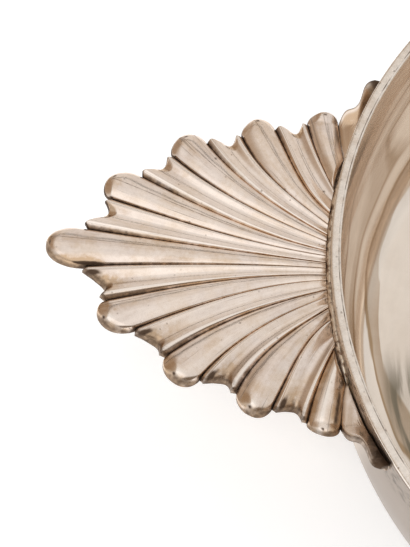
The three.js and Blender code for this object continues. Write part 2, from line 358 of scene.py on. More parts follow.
raisedSilverLook = {
    "bright": (0.92, 0.82, 0.72),
    # brown of the painted reflection bands and of the tarnish patches
    "warm": (0.42, 0.285, 0.17),
    "grey": (0.40, 0.33, 0.275),        # outside, painted darker than the inside: painted shade
    "byEar": (0.86, 0.74, 0.62),        # outside too, under the ears
    "byEarFrom": (76 * mm, 81 * mm),
    # colour of the painted dark reflection on the floor
    "darkReflection": (0.21, 0.175, 0.125),
    "dark": (0.15, 0.12, 0.095),
    "roughness": (0.12, 0.22),          # bare, and under film
    "outsideRoughness": 0.3,
    "patches": {"Scale": 70.0, "Coverage": 0.42},
    "pits": {"Scale": 170.0, "Size": 0.09, "Share": 0.14},
    "marks": {"Scale": 700.0, "Stretch": 1.0},
    # painted reflections: bands of brown and dark lines, as mm round the profile from the middle and how
    # brown
    "reflectionBands": [(70.9, 0.1), (71.3, 0.66), (74.3, 0.56), (75.0, 0.6), (75.4, 1.0), (75.8, 0.95), (76.2, 0.05),
              (79.8, 0.08), (80.7, 0.5), (81.2, 1.0), (81.6, 0.95), (82.0, 0.62), (83.8, 0.62), (85.0, 0.3),
              (88.0, 0.36), (88.5, 0.95), (88.9, 0.95), (89.3, 0.42), (91.9, 0.3), (92.3, 0.8), (92.7, 0.32),
              (97.0, 0.27), (101.2, 0.36), (102.0, 0.7), (102.6, 0.34), (108.2, 0.33), (109.0, 0.6),
              (109.6, 0.34), (120.0, 0.55)],
    "lean": (16 * mm, 40 * mm),         # how far they climb towards the far side, low and high on the wall
    "leanReach": (90 * mm, 102 * mm),
    "bandWander": (0.45 * mm, 0.35 * mm),   # broad and fine
    "bandStrength": (0.78, 1.12),          # how strong the painted bands are on the far side and on the near side
    # on the near side the low bands lie closer together: from, to and how far each stretch is moved
    "pinch": [(66.0, 72.2, -1.7), (72.2, 74.4, 2.9), (76.0, 80.4, -1.2)],
    "kink": 0.9 * mm,                   # by which the bands jump at one turn
    "kinkTurn": (2.72, 2.84, 2.95),
    "darkReflectionAcross": (3.0, -11.0, -31.0, -25.0),   # starts and is full, ends and is still full, from the middle
    "darkReflectionReach": (58.0, 62.0, 73.6, 70.6),      # the same round the profile
    "darkReflectionStreaks": {"Scale": 520.0, "Stretch": 1.0},
    "speckHeight": (33 * mm, 42 * mm),
    "speckOut": (52 * mm, 66 * mm),     # specks lie beside and under the ears only
}


def addFlatRadius(place):
    # how far out from the bowl's middle, seen from above
    flat = addVectorMath("MULTIPLY", {0: place, 1: (1, 1, 0)})
    return addVectorMath("LENGTH", {0: flat}, "Value")


def addAround(axes, profile, stretch):
    # a vector that changes fast along the bowl's profile and slowly round it
    feeds = {"X": product(axes["X"], stretch), "Y": product(axes["Y"], stretch), "Z": profile}
    return addNode(profile.id_data, "ShaderNodeCombineXYZ", feeds).outputs[0]


# painted reflections: brown bands and dark lines round the bowl's inside, following its profile
def addReflectionBands(axes, profile, hammering, ripple):
    s = raisedSilverLook
    turn = addMath("ARCTAN2", axes["Y"], axes["X"])
    sine = addMath("SINE", turn)
    broad, fine = s["bandWander"]
    wander = addRange(hammering, 0.25, 0.75, -broad, broad)
    wander = addMath("ADD", wander, addRange(ripple, 0.25, 0.75, -fine, fine))
    kinkStart, kinkTop, kinkEnd = s["kinkTurn"]
    kink = product(addFade(turn, kinkStart, kinkTop), addFade(turn, kinkEnd, kinkTop), s["kink"])
    lean = product(sine, addRange(profile, *s["leanReach"], *s["lean"]))
    place = addMath("ADD", profile, addMath("SUBTRACT", wander, kink))
    place = addMath("SUBTRACT", place, lean)
    nearSide = addFade(sine, 0.45, 0.12)
    for low, high, push in s["pinch"]:
        moved = addRange(profile, low * mm, high * mm, 0.0, push * mm)
        place = addMath("ADD", place, product(moved, nearSide))
    first, last = s["reflectionBands"][0][0], s["reflectionBands"][-1][0]
    levels = [((reach - first) / (last - first), level) for reach, level in s["reflectionBands"]]
    filmAndPaintedLight = addRamp(addRange(place, first * mm, last * mm), levels)
    return product(filmAndPaintedLight, addRange(sine, 0.25, 0.10, *s["bandStrength"]))


def addDarkReflection(axes, profile):
    # a painted dark reflection on the floor, on the near left, in streaks
    s = raisedSilverLook
    streaks = placeGroup(rubbingMarks, addAround(axes, profile, 0.09), s["darkReflectionStreaks"])
    parts = [addMath("LESS_THAN", axes["X"], 0.0), addFade(streaks, 0.4, 0.58, 0.22, 1.0)]
    for value, limits in ((axes["Y"], s["darkReflectionAcross"]), (profile, s["darkReflectionReach"])):
        none, full, gone, still = (limit * mm for limit in limits)
        parts += [addFade(value, none, full), addFade(value, gone, still)]
    return product(*parts)


def addSpecks(place, axes, profile):
    # dirt high on the outer wall
    s = raisedSilverLook
    specks = addNoise(addAround(axes, profile, 0.4), 1000.0, 6.0, 0.7)
    specks = addFade(specks, 0.5, 0.59, 0.0, 1.1)
    high = addFade(axes["Z"], *s["speckHeight"])
    out = addFade(addMath("ABSOLUTE", axes["X"]), *s["speckOut"])
    return product(specks, high, out, addFade(addNoise(place, 60.0, 2.0), 0.36, 0.52))


def makeRaisedSilver():
    s = raisedSilverLook
    material, place = startMaterial("raisedSilver")
    tree = material.node_tree
    axes = addNode(tree, "ShaderNodeSeparateXYZ", {0: place}).outputs
    profile = addMath("ADD", addFlatRadius(place), axes["Z"])
    inner = readAttribute(tree, "inside")
    outside = addMath("SUBTRACT", 1.0, inner)
    patches = placeGroup(tarnishPatches, place, s["patches"])
    pits = placeGroup(castingPits, place, s["pits"])
    marks = placeGroup(rubbingMarks, addAround(axes, profile, 0.3), s["marks"])
    stretched = addAround(axes, profile, 0.45)
    hammering = addNoise(stretched, 85.0, 1.0, 0.4)
    ripple = addNoise(stretched, 210.0, 2.0, 0.5)

    # painted reflections in bands, with tarnish patches over them
    filmAndPaintedLight = product(addReflectionBands(axes, profile, hammering, ripple), inner)
    filmAndPaintedLight = addMath("ADD", filmAndPaintedLight, product(patches, 0.11), clamp=True)
    # painted dark reflection on the floor's near left
    darkReflection = product(addDarkReflection(axes, profile), inner)
    darkening = addMath("MAXIMUM", product(addSpecks(place, axes, profile), outside), pits)

    byEar = addFade(addMath("ABSOLUTE", axes["X"]), *s["byEarFrom"])
    colour = addMix(darkReflection, addMix(filmAndPaintedLight, s["bright"], s["warm"]), s["darkReflection"])
    # the outside is painted grey as painted shade, and lighter under the ears
    colour = addMix(outside, colour, addMix(byEar, s["grey"], s["byEar"]))
    colour = addMix(darkening, addTint(colour, marks, 0.98, 1.015), s["dark"])
    rough = addMath("ADD", addRange(filmAndPaintedLight, 0, 1, *s["roughness"]), addRange(marks, 0.3, 0.7, -0.02, 0.04))
    rough = addMath("MAXIMUM", rough, product(outside, s["outsideRoughness"]))
    height = addMath("ADD", product(marks, 0.05), product(hammering, 3.0))
    height = addMath("SUBTRACT", height, product(darkening, 0.5))
    return finishMaterial(material, colour, rough, height, 0.3, 0.0005)


rimSilverLook = {
    "bright": (0.93, 0.84, 0.75),
    "warm": (0.66, 0.52, 0.40),
    "dark": (0.17, 0.12, 0.085),
    "patches": {"Scale": 320.0, "Coverage": 0.42},
    "pits": {"Scale": 1000.0, "Size": 0.45, "Share": 0.24},
    "jointIn": 1.62 * mm,      # from the outer edge to the line where the wire meets the wall
    "jointWidth": 0.13 * mm,
}


def makeRimSilver():
    s = rimSilverLook
    material, place = startMaterial("rimSilver")
    grain = addNoise(place, 1100.0, 5.0, 0.7)
    patches = placeGroup(tarnishPatches, place, s["patches"])
    pits = placeGroup(castingPits, place, s["pits"])
    away = addMath("ABSOLUTE", addMath("SUBTRACT", addFlatRadius(place), rimRadius - s["jointIn"]))
    joint = addFade(away, s["jointWidth"], s["jointWidth"] * 0.4)
    joint = product(joint, addRange(addNoise(place, 260.0), 0.38, 0.6, 0.12, 1.0))
    darkening = addMath("MAXIMUM", pits, joint)
    colour = addMix(product(patches, 0.4), s["bright"], s["warm"])
    colour = addMix(darkening, addTint(colour, grain, 0.86, 1.07), s["dark"])
    rough = addRange(grain, 0.3, 0.7, 0.15, 0.3)
    return finishMaterial(material, colour, rough, addMath("SUBTRACT", grain, darkening), 0.3, 0.00012)


solderLook = {
    "bright": (0.96, 0.86, 0.73),
    "dark": (0.26, 0.17, 0.11),
    "roughness": (0.32, 0.55),
}


def makeSolder():
    s = solderLook
    material, place = startMaterial("solder")
    lumps = addNoise(place, 1100.0, 4.0, 0.65)
    darkening = addRange(addNoise(place, 800.0, 5.0), 0.49, 0.61, 0, 0.9)
    colour = addMix(darkening, s["bright"], s["dark"])
    return finishMaterial(material, colour, addRange(lumps, 0.3, 0.7, *s["roughness"]), lumps, 0.6, 0.0002)


castSilver = makeCastSilver()
raisedSilver = makeRaisedSilver()
rimSilver = makeRimSilver()
solder = makeSolder()
print("materials made")


# Bowl: raised ring by ring from the middle of the floor to the wall's top edge
bowlShape = {
    "sides": 256,
    "wall": 1.2 * mm,
    "hollow": 0.6 * mm,
    "hollowFrom": 55 * mm,
    "hollowTo": 62 * mm,
    "bendWidth": 12 * mm,
    "taper": 0.05 * mm,
    "wallStraight": 12 * mm,
    "floorSteps": (3, 8, 16, 26, 36, 46),    # mm out, before the hollow's edge
    "hollowSteps": 6,
    "bendSteps": 16,
    "wallSteps": 5,
}


def bowlRings():
    s = bowlShape
    footRadius = wallRadius - s["taper"]
    floorRadius = footRadius - s["bendWidth"]
    bendTop = rimSeat - s["wallStraight"]
    rings = [(radius * mm, s["hollow"]) for radius in s["floorSteps"]]
    for step in range(s["hollowSteps"] + 1):
        share = step / s["hollowSteps"]
        radius = s["hollowFrom"] + (s["hollowTo"] - s["hollowFrom"]) * share
        rings.append((radius, s["hollow"] * (1 + math.cos(share * math.pi)) / 2))
    rings.append(((s["hollowTo"] + floorRadius) / 2, 0))
    for step in range(s["bendSteps"] + 1):
        angle = step / s["bendSteps"] * math.pi / 2
        rings.append((footRadius - s["bendWidth"] * (1 - math.sin(angle)), bendTop * (1 - math.cos(angle))))
    for step in range(1, s["wallSteps"] + 1):
        share = step / s["wallSteps"]
        rings.append((footRadius + s["taper"] * share, bendTop + (rimSeat - bendTop) * share))
    return rings


def makeBowl():
    rings = bowlRings()
    deselectAll()
    radius, height = rings[0]
    bpy.ops.mesh.primitive_circle_add(
        vertices=bowlShape["sides"], radius=radius, fill_type="TRIFAN", location=(0, 0, 0))
    bowl = startPiece("silver_bowl")
    bowl.data.transform(Matrix.Translation((0, 0, height)))
    bpy.ops.object.mode_set(mode="EDIT")
    selectVerts(bowl, lambda co: co.xy.length > radius * 0.5)
    for nextRadius, nextHeight in rings[1:]:
        bpy.ops.mesh.extrude_edges_move(TRANSFORM_OT_translate={"value": (0, 0, nextHeight - height)})
        grow = nextRadius / radius
        bpy.ops.transform.resize(value=(grow, grow, 1), center_override=(0, 0, 0))
        radius, height = nextRadius, nextHeight
    bpy.ops.object.mode_set(mode="OBJECT")
    cleanMesh(bowl, 0.00001)
    applyModifier(bowl, "SOLIDIFY", "wall", thickness=bowlShape["wall"], offset=-1, use_even_offset=True)
    smoothByAngle(bowl, 40)
    inside = [float(v.normal.z * 0.5 > v.normal.xy.dot(v.co.xy.normalized())) for v in bowl.data.vertices]
    fillAttribute(bowl.data, "inside", "FLOAT", "value", inside)
    bowl.data.materials.append(raisedSilver)
    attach(bowl, "root")
    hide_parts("bowl")


makeBowl()
print("bowl made")


# Rim: a ring bent from wire, dressed flat underneath and softly domed on top
rimShape = {
    "width": 2.05 * mm,
    "dome": 0.42 * mm,
    "fullness": 4.2,     # 2 is a plain half-round, more is flatter on top
    "squareness": 1.6,   # 1 tapers to the wall, more stands on it flat
    "around": 320,
    "section": 28,
}


def makeRim():
    s = rimShape
    deselectAll()
    half = s["width"] / 2
    bpy.ops.mesh.primitive_torus_add(
        major_radius=rimRadius - half, minor_radius=half,
        major_segments=s["around"], minor_segments=s["section"], location=(0, 0, 0))
    rim = startPiece("silver_rim")
    shoulder = rimTop - s["dome"]
    for vertex in rim.data.vertices:
        co = vertex.co
        if co.z >= -1e-9:
            along = min(1, abs(co.xy.length - rimRadius + half) / half)
            co.z = shoulder + (1 - along ** s["fullness"]) ** (1 / s["fullness"]) * s["dome"]
        else:
            co.z = max(rimSeat, shoulder + co.z / half * (shoulder - rimSeat) * s["squareness"])
    cleanMesh(rim, 0.000001)
    smoothByAngle(rim, 50)
    rim.data.materials.append(rimSilver)
    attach(rim, "root")
    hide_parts("rim_wire")


makeRim()
print("rim made")


# Ears. Sizes in mm: out from the rim, across from the ear's centre line, up from the table
earShape = {
    "rootDrop": 4.4,
    "rise": 0.147,
    "curl": 0.00056,
    "sideDrop": 0.00064,
    "sideSag": 0.8,
    "sideSagReach": 10,
    "leafLiftFrom": 33,
    "leafLiftSlope": 0.52,
    "edgeThickness": 1.7,
    "rootThickness": 3.2,
    "thinFrom": 0.5,
    "edgeDrop": 0.35,
    "undercut": 1.3,
    "rootRounding": 0.5,
    "rootFullness": 0.97,
    "lobeCrown": 0.38,
    "lobeRoundness": 0.2,          # 0 is a parabola across, 1 a half round
    "ridgeRise": 0.27,
    "ridgeShare": (0.05, 0.14),    # of a flute's width, along it and at its tip
    "troughSkew": 1.15,
    "ridgeRoundness": 0.45,        # 0 leaves the ridges sharp
    "leafRise": 0.9,
    "leafCrestEnd": 0.83,
    "rayPull": 0.34,
    "middleReach": 8,
    "noseSkew": 0.2,
    "wobble": 0.016,
}

# Grooves from the middle lobe to the side leaf: root across, root angle, tip out, tip across, tip angle
grooveLines = [
    (0.65, 2, 47.4, 4, 6),
    (2.1, 4, 43.2, 11.1, 16),
    (3.3, 8, 37.4, 16.6, 27),
    (5.3, 19, 31.3, 21.8, 41),
    (6.8, 26, 24.8, 25.8, 55),
    (9.2, 36, 17.7, 28, 67),
    (11.8, 39, 11, 30.6, 64),
    (17.3, 64, 4.3, 32.7, 76),
    (24.2, 78, -2.1, 33.4, 86),
]
leafLine = (41.8, 60, -9.3, 42.4, 60)
leafWave = {"reach": 0.8, "waves": 1.5}
# How far a flute's two ridges reach past its line, and how far its trough is cut back
fluteEnds = [(1.3, 0.7, 2), (1, 0.6, 1.2), (0.6, 0.4, 1.7), (0.4, 0.3, 1.7)]
lobeReaches = [4.2, 3.4, 3, 2.3]

# How the chaser finished the ends, grooves and roots. Pairs are for the near half (-Y) and the far half
earFinish = {
    "fullWidth": 2.8,               # a lobe that is half as wide as this has a shorter nose
    "roundNose": (1.5, 2.6),
    "slopeNose": 4.2,               # the last near lobe's, in place of the round one
    "bevelNose": (3.1, 1.9),
    "bevelReach": 0.62,             # share of a lobe's width that the bevel takes
    "softSide": 0.4,                # how far the near noses are worn round
    "roundKept": 0.22,              # share of the relief that is left at the edge
    "bevelKept": (0.0, 0.3),
    "fluteNose": 0.5,
    "fluteKept": 0.6,
    "scoopLength": 1.9,
    "scoopDepth": 0.75,
    "cutSkew": 1.4,
    "lipLength": (1.15, 0.45),      # the last steep drop round the edge
    "softLip": (0.25, 2.1),         # times that on the near lobes, on each lobe's first side and on its other
    "lastLip": 1.2,
    "softRoll": 0.75,
    "lipDrop": (1.15, 0.95),
    "grooveWidth": (0.10, 0.26),    # at the root and at the tip
    "thinGroove": 0.5,              # share of it on the side that faces away from the middle lobe
    "grooveDepth": (0.08, 0.30),
    "bluntStart": 0.3,              # where the last lobe starts, out from the solder
    "bluntRun": 1.1,
}

# Dirt, film and wear, with painted shade, highlights and reflections, in the same pairs. Places are shares of
# a lobe's or flute's width
earColouring = {
    # from the middle lobe to the leaf
    "outerFilm": [(0.32, 0.32), (0.16, 0.16), (0.2, 0.2), (0.3, 0.3), (0.45, 0.25), (0.7, 1.6)],
    "fluteShare": 0.6,              # flutes have less
    # brown painted on the bevel facets: a painted reflection
    "facetReflection": (0.85, 0.62),
    # painted shade on the steep faces round the edge, and underneath
    "edgeShade": (0.58, 0.9),
    "underEdge": (0.55, 0.65),
    "tipPlace": (0.48, 0.6),        # a speck on each nose
    "tipSpeck": (1.1, 0.95, 0.3),   # its level, how far it lies from the end, and its width
    "crestPlace": (0.2, 0.56),      # a painted dark reflection line along each lobe
    "middleCrest": (0.97, 0.64),
    "corner": [(0.24, 3.2, 0.55, 1.1), (0.45, 1, 0.45, 0.7)],   # a flute's end: place, length, width, depth
    # painted shade along the leaf's side by the wall, and the near leaf painted lighter as painted light
    "leafWallShade": (0.36, 0.2),
    "leafLightening": (0.5, 0.0),
    "grooveGrime": (0.62, 0.95),    # at the root and at the tip
    "wallDarkening": 0.62,              # a flute's steep sides, darker towards the end
    "wallFilm": 0.85,
    "ridgeWear": 0.9,
}
# Marks along a lobe or flute: level, and place and spread across it
earMarks = {
    "lobeEnd": (0.75, 0.4, 0.2),
    "middleEnd": (0.75, 0.6, 0.2),
    "fluteEnd": (0.75, 0.7, 0.16),
    # a painted highlight on each near nose
    "noseHighlight": (0.9, 0.54, 0.13),
    "middleSideShade": (1.1, 0.95, 0.035),   # painted shade on the middle lobe's near side
    # on the last near lobe: a painted highlight along its crest, and a painted dark band on its flank
    "slopeHighlight": (0.9, 0.4, 0.1),
    "slopeFlank": (0.74, 0.84, 0.08),
    "trough": (1.7, 0.45, 0.28),
}
farOff = 9.0     # mm from the painted reflection line, where it doesn't show

earMesh = {
    "lobeSteps": 24,
    "ridgeSteps": 6,
    "hollowSteps": 18,
    "leafSteps": 18,
    "rayRows": 60,
    "rayBunching": 1.15,
    "endRows": 20,
    "endBunching": 1.3,
    "endLength": 2.5,
    "underRows": 12,
}
earRootRadius = wallRadius / mm + 0.8  # leaves the solder in sight
leafHug = (20, 26, 0.5)                # from, to and how far the root closes on the wall beside the leaf
rimOut = rimRadius / mm


def mixed(low, high, share):
    return low + (high - low) * share


def smoothStep(value, low, high):
    t = np.clip((value - low) / (high - low), 0, 1)
    return t * t * (3 - 2 * t)


def spot(value, middle, spread):
    # 1 at the middle, fading on both sides
    return np.exp(-((value - middle) / spread) ** 2)


def heading(angle):
    return np.array((math.cos(math.radians(angle)), math.sin(math.radians(angle))))


def lineBetween(near, far, share, rootShare, reach):
    line = mixed(np.array(near), np.array(far), np.array((rootShare, rootShare, share, share, share)))
    line[2:4] += reach * heading(line[4])
    return line


def rayPoints(line, shares):
    rootAcross, rootAngle, tipOut, tipAcross, tipAngle = line
    hugFrom, hugTo, hug = leafHug
    rootRadius = earRootRadius - hug * smoothStep(abs(rootAcross), hugFrom, hugTo)
    root = np.array((math.sqrt(rootRadius ** 2 - rootAcross ** 2) - rimOut, rootAcross))
    tip = np.array((tipOut, tipAcross))
    pull = earShape["rayPull"] * np.hypot(*(tip - root))
    first = root + pull * heading(rootAngle)
    second = tip - pull * heading(tipAngle)
    t = np.asarray(shares, float)[:, None]
    return (1 - t) ** 3 * root + 3 * t * (1 - t) ** 2 * first + 3 * t ** 2 * (1 - t) * second + t ** 3 * tip


def halfWidths(near, far, shares):
    along = rayPoints(near, np.clip(shares + 0.02, 0, 1)) - rayPoints(near, np.clip(shares - 0.02, 0, 1))
    along /= np.hypot(along[:, 0], along[:, 1])[:, None]
    across = rayPoints(far, shares) - rayPoints(near, shares)
    return np.abs(across[:, 0] * along[:, 1] - across[:, 1] * along[:, 0]) / 2


def groundHeights(points):
    s = earShape
    out, across = points[:, 0], points[:, 1]
    lift = s["leafLiftSlope"] * np.maximum(0, np.abs(across) - s["leafLiftFrom"])
    sag = 1 + s["sideSag"] * spot(out, 0, s["sideSagReach"])
    height = rimTop / mm - s["rootDrop"] + s["rise"] * out - s["curl"] * out ** 2
    return height - s["sideDrop"] * across ** 2 * sag + lift


def makeColumn(kind, index, near, far, share, reach, body, rootShare=None, **finish):
    # one line of the ear, a share of the way from one groove to the next
    rootShare = share if rootShare is None else rootShare
    line = lineBetween(near, far, share, rootShare, reach)
    finish = {"bevel": 0.0, "scoop": 0.0, "ridge": 0.0, "wall": 0.0, **finish}
    return SimpleNamespace(kind=kind, index=index, near=near, far=far, share=share, rootShare=rootShare,
                           line=line, body=body, **finish)


def lobeColumns(index, near, far, reach, skew, firstStep=0):
    s, f, m = earShape, earFinish, earMesh
    columns = []
    for step in range(firstStep, m["lobeSteps"] + 1):
        turn = step / m["lobeSteps"] * math.pi
        share = (1 - math.cos(turn)) / 2
        push = reach * math.sin(turn) * (1 - skew * math.cos(turn))
        body = s["lobeCrown"] * mixed(math.sin(turn) ** 2, math.sin(turn), s["lobeRoundness"])
        bevel = 0.0
        if index > 0 and share < f["bevelReach"] - 0.06:
            bevel = math.sin(min(1, (share + 0.06) / f["bevelReach"]) * math.pi) ** 0.6
        columns.append(makeColumn("lobe", index, near, far, share, push, body, bevel=bevel))
    return columns


def fluteColumns(index, near, far, ends):
    # steep up to each ridge, and between them a trough that is deepest past the middle
    s, f, m = earShape, earFinish, earMesh
    nearReach, farReach, cutBack = ends
    rootRidge, ridge = s["ridgeShare"]

    def climb(height, reach, isFar):
        share, rootShare = height * ridge, height * rootRidge
        if isFar:
            share, rootShare = 1 - share, 1 - rootShare
        return makeColumn("flute", index, near, far, share, reach * height, s["ridgeRise"] * height ** 1.2,
                          rootShare=rootShare, ridge=height ** 6, wall=1 - height ** 2)

    def trough(place):
        push = mixed(nearReach, farReach, place) - cutBack * math.sin(place ** f["cutSkew"] * math.pi)
        scoop = max(0.0, math.sin(min(1, max(0, (place - 0.3) / 0.66)) * math.pi)) ** 0.6
        turn = place ** s["troughSkew"] * math.pi
        body = s["ridgeRise"] * mixed(1 - math.sin(turn), math.cos(turn) ** 2, s["ridgeRoundness"])
        return makeColumn("flute", index, near, far, mixed(ridge, 1 - ridge, place), push, body,
                          rootShare=mixed(rootRidge, 1 - rootRidge, place), scoop=scoop,
                          ridge=spot(min(place, 1 - place), 0, 0.04))

    heights = [step / m["ridgeSteps"] for step in range(1, m["ridgeSteps"])]
    columns = [climb(height, nearReach, False) for height in heights]
    for step in range(m["hollowSteps"] + 1):
        columns.append(trough((1 - math.cos(step / m["hollowSteps"] * math.pi)) / 2))
    return columns + [climb(height, farReach, True) for height in reversed(heights)]


def leafColumns():
    columns = []
    for step in range(1, earMesh["leafSteps"] + 1):
        share = step / earMesh["leafSteps"]
        wave = leafWave["reach"] * math.sin(share * math.pi * 2 * leafWave["waves"])
        crest = max(0, math.sin(min(1, share / earShape["leafCrestEnd"]) ** 1.4 * math.pi))
        body = earShape["leafRise"] * crest
        columns.append(makeColumn("leaf", 5, grooveLines[-1], leafLine, share, wave, body))
    return columns


def earColumns():
    # one half of the ear, from the middle lobe's crest to the leaf's point
    middle = grooveLines[0]
    other = (-middle[0], -middle[1], middle[2], -middle[3], -middle[4])
    parts = [lobeColumns(0, other, middle, earShape["middleReach"], 0, earMesh["lobeSteps"] // 2)]
    for index, (ends, reach) in enumerate(zip(fluteEnds, lobeReaches)):
        near, far, after = grooveLines[index * 2:index * 2 + 3]
        parts += [fluteColumns(index + 1, near, far, ends),
                  lobeColumns(index + 1, far, after, reach, earShape["noseSkew"])]
    parts.append(leafColumns())
    flow = 0.0
    for part in parts:
        width = halfWidths(part[0].near, part[0].far, np.array([0.6]))[0] * 2
        for column in part:
            column.flow = flow + column.share * width
        flow += width
    return [column for part in parts for column in part]


def startRun(column, isNear):
    # the rows of one column, on the near half of the ear (towards -Y) or on the far half
    f, m = earFinish, earMesh
    c = SimpleNamespace(**vars(column), isNear=isNear, half=0 if isNear else 1)
    c.isLobe, c.isFlute, c.isLeaf = (c.kind == kind for kind in ("lobe", "flute", "leaf"))
    c.isLastLobe = c.isLobe and c.index == len(fluteEnds)
    c.isNearLobe, c.isSloped = c.isLobe and isNear, c.isLastLobe and isNear
    c.soft = f["softSide"] if isNear else 0.0
    root, tip = rayPoints(c.line, [0, 1])
    c.length = np.hypot(*(tip - root))
    end = min(m["endLength"] / c.length, 0.4)
    rows = np.linspace(0, 1, m["rayRows"] + 1) ** m["rayBunching"] * (1 - end)
    endRows = 1 - end * (1 - np.linspace(0, 1, m["endRows"] + 1)[1:]) ** m["endBunching"]
    c.shares = np.concatenate((rows, endRows))
    c.points = rayPoints(c.line, c.shares)
    c.widths = halfWidths(c.near, c.far, c.shares)
    c.fromRoot = c.shares * c.length
    c.fromEnd = c.length - c.fromRoot
    across = mixed(c.rootShare, c.share, c.shares)
    c.beside = np.minimum(across, 1 - across) * 2 * c.widths     # how far off the nearest groove is
    if c.isLeaf:
        c.beside = c.share * 9 * np.ones(len(c.shares))
    c.facesMiddle = (c.isLobe and (c.share < 0.5 or c.index == 0)) or (c.isFlute and c.share > 0.5)
    spread = mixed(*f["grooveWidth"], c.shares ** 2) * (1 if c.facesMiddle else f["thinGroove"])
    c.spread = np.maximum(spread, f["grooveWidth"][1] * c.shares ** 8)
    c.past, c.scooped = np.zeros(len(c.shares)), np.zeros(len(c.shares))
    return c


def nearEdge(c, reach):
    # 0 further in than the reach, and 1 at the edge
    return np.clip(1 - c.fromEnd / reach, 0, 1)


def reliefHeights(c):
    s, f, half = earShape, earFinish, c.half
    rooted = mixed(s["rootFullness"], 1, 1 - np.exp(-c.fromRoot / s["rootRounding"]))
    if c.isLastLobe:
        rooted = np.sqrt(np.clip((c.fromRoot - f["bluntStart"]) / f["bluntRun"], 0, 1))
    relief = c.body * (1 if c.isLeaf else c.widths) * rooted
    if c.isLobe:
        size = min(1.0, c.widths[-1] / f["fullWidth"])
        kept = mixed(f["roundKept"], 1, np.sqrt(1 - nearEdge(c, f["roundNose"][half] * size) ** 2))
        if c.isSloped:
            kept = mixed(f["roundKept"], 1, 1 - nearEdge(c, f["slopeNose"]) ** 1.7)
        elif c.bevel > 0:
            c.past = nearEdge(c, f["bevelNose"][half] * c.bevel * size)
            cut = mixed(f["bevelKept"][half] + 0.4 * (1 - c.bevel), 1, 1 - c.past ** (1 + c.soft))
            kept = mixed(np.minimum(kept, cut), kept, c.soft * 0.3)
    else:
        kept = mixed(f["fluteKept"], 1, np.sqrt(1 - nearEdge(c, f["fluteNose"]) ** 2))
    height = groundHeights(c.points) - s["edgeDrop"] + (relief + s["edgeDrop"]) * kept

    lipLength = f["lipLength"][half]
    if c.isNearLobe:
        lipLength *= f["lastLip"] if c.isLastLobe else mixed(*f["softLip"], smoothStep(c.share, 0.2, 0.6))
    c.lip = nearEdge(c, lipLength)
    roll = 1 - np.sqrt(1 - c.lip ** 2)
    height -= f["lipDrop"][half] * (mixed(roll, c.lip ** 2, f["softRoll"]) if c.isNearLobe else roll)
    if c.scoop > 0:
        c.scooped = nearEdge(c, f["scoopLength"] * c.scoop)
        height -= f["scoopDepth"] * c.scooped * c.scoop
    groove = mixed(*f["grooveDepth"], c.shares) * spot(c.beside, 0, c.spread)
    height -= groove * np.clip(c.fromEnd / 0.6, 0, 1)
    if c.isFlute:
        height -= s["ridgeRise"] * 0.25 * c.widths * c.ridge * rooted
    bumps = np.sin(c.fromRoot * 0.9 + c.flow * 1.7) + np.sin(c.fromRoot * 0.43 - c.flow * 0.8 + 2)
    return height + s["wobble"] * bumps * np.clip(relief, 0, 1)


def cover(c, layer, level):
    c.layers[layer] = np.maximum(c.layers[layer], level)


def addMark(c, layer, name, fade=1):
    level, place, spread = earMarks[name]
    cover(c, layer, level * spot(c.share, place, spread) * fade)


def colourLobe(c):
    t, half = earColouring, c.half
    addMark(c, "filmAndPaintedLight", "lobeEnd" if c.index else "middleEnd", np.exp(-c.fromEnd / 8))
    # brown painted on the bevel facets: a painted reflection
    cover(c, "filmAndPaintedLight", t["facetReflection"][half] * smoothStep(c.past, 0.02, mixed(0.12, 0.5, c.soft)))
    cover(c, "wearAndPaintedLight", (1 - c.soft) * 0.9 * spot(c.past, 0.03, 0.07) * (c.past > 0))
    level, inward, width = t["tipSpeck"]
    tip = np.hypot(c.fromEnd - inward, (c.share - t["tipPlace"][half]) * 2 * c.widths)
    cover(c, "grimeAndPaintedShade", level * spot(tip, 0, width))
    # a painted highlight on the near noses
    if c.isNear and c.index > 0:
        addMark(c, "wearAndPaintedLight", "noseHighlight", spot(c.fromEnd, 1.7, 0.8))
    if c.isNear and c.index > 2:
        cover(c, "filmAndPaintedLight", 0.6 * np.exp(-c.fromRoot / 12))
    # the painted reflection line along the lobe
    c.layers["crest"] = (c.share - t["crestPlace"][half]) * 2 * c.widths + 0.4 * c.shares ** 12
    if c.index == 0:
        c.layers["crest"] = (c.share - t["middleCrest"][half]) * 2 * c.widths
    # painted shade and brown on the middle lobe's near side
    if c.index == 0 and c.isNear:
        addMark(c, "grimeAndPaintedShade", "middleSideShade", smoothStep(c.fromEnd, 0.8, 2) * (1 - smoothStep(c.fromEnd, 5, 8)))
        cover(c, "filmAndPaintedLight", smoothStep(c.share, 0.7, 0.85) * (1 - smoothStep(c.fromEnd, 6, 10)))
    # the last near lobe: a painted highlight along its crest, painted brown reflections on both sides and a
    # painted dark band on its flank
    if c.isSloped:
        addMark(c, "wearAndPaintedLight", "slopeHighlight")
        c.layers["filmAndPaintedLight"] *= 0.8
        cover(c, "filmAndPaintedLight", 0.85 * smoothStep(abs(c.share - 0.42), 0.12, 0.3))
        addMark(c, "grimeAndPaintedShade", "slopeFlank", smoothStep(c.fromRoot, 2, 5) * smoothStep(c.fromEnd, 0.8, 3))
    if c.isLastLobe:
        start = earFinish["bluntStart"]
        cover(c, "grimeAndPaintedShade", 0.8 * (1 - smoothStep(c.fromRoot, start, start + 0.6)))


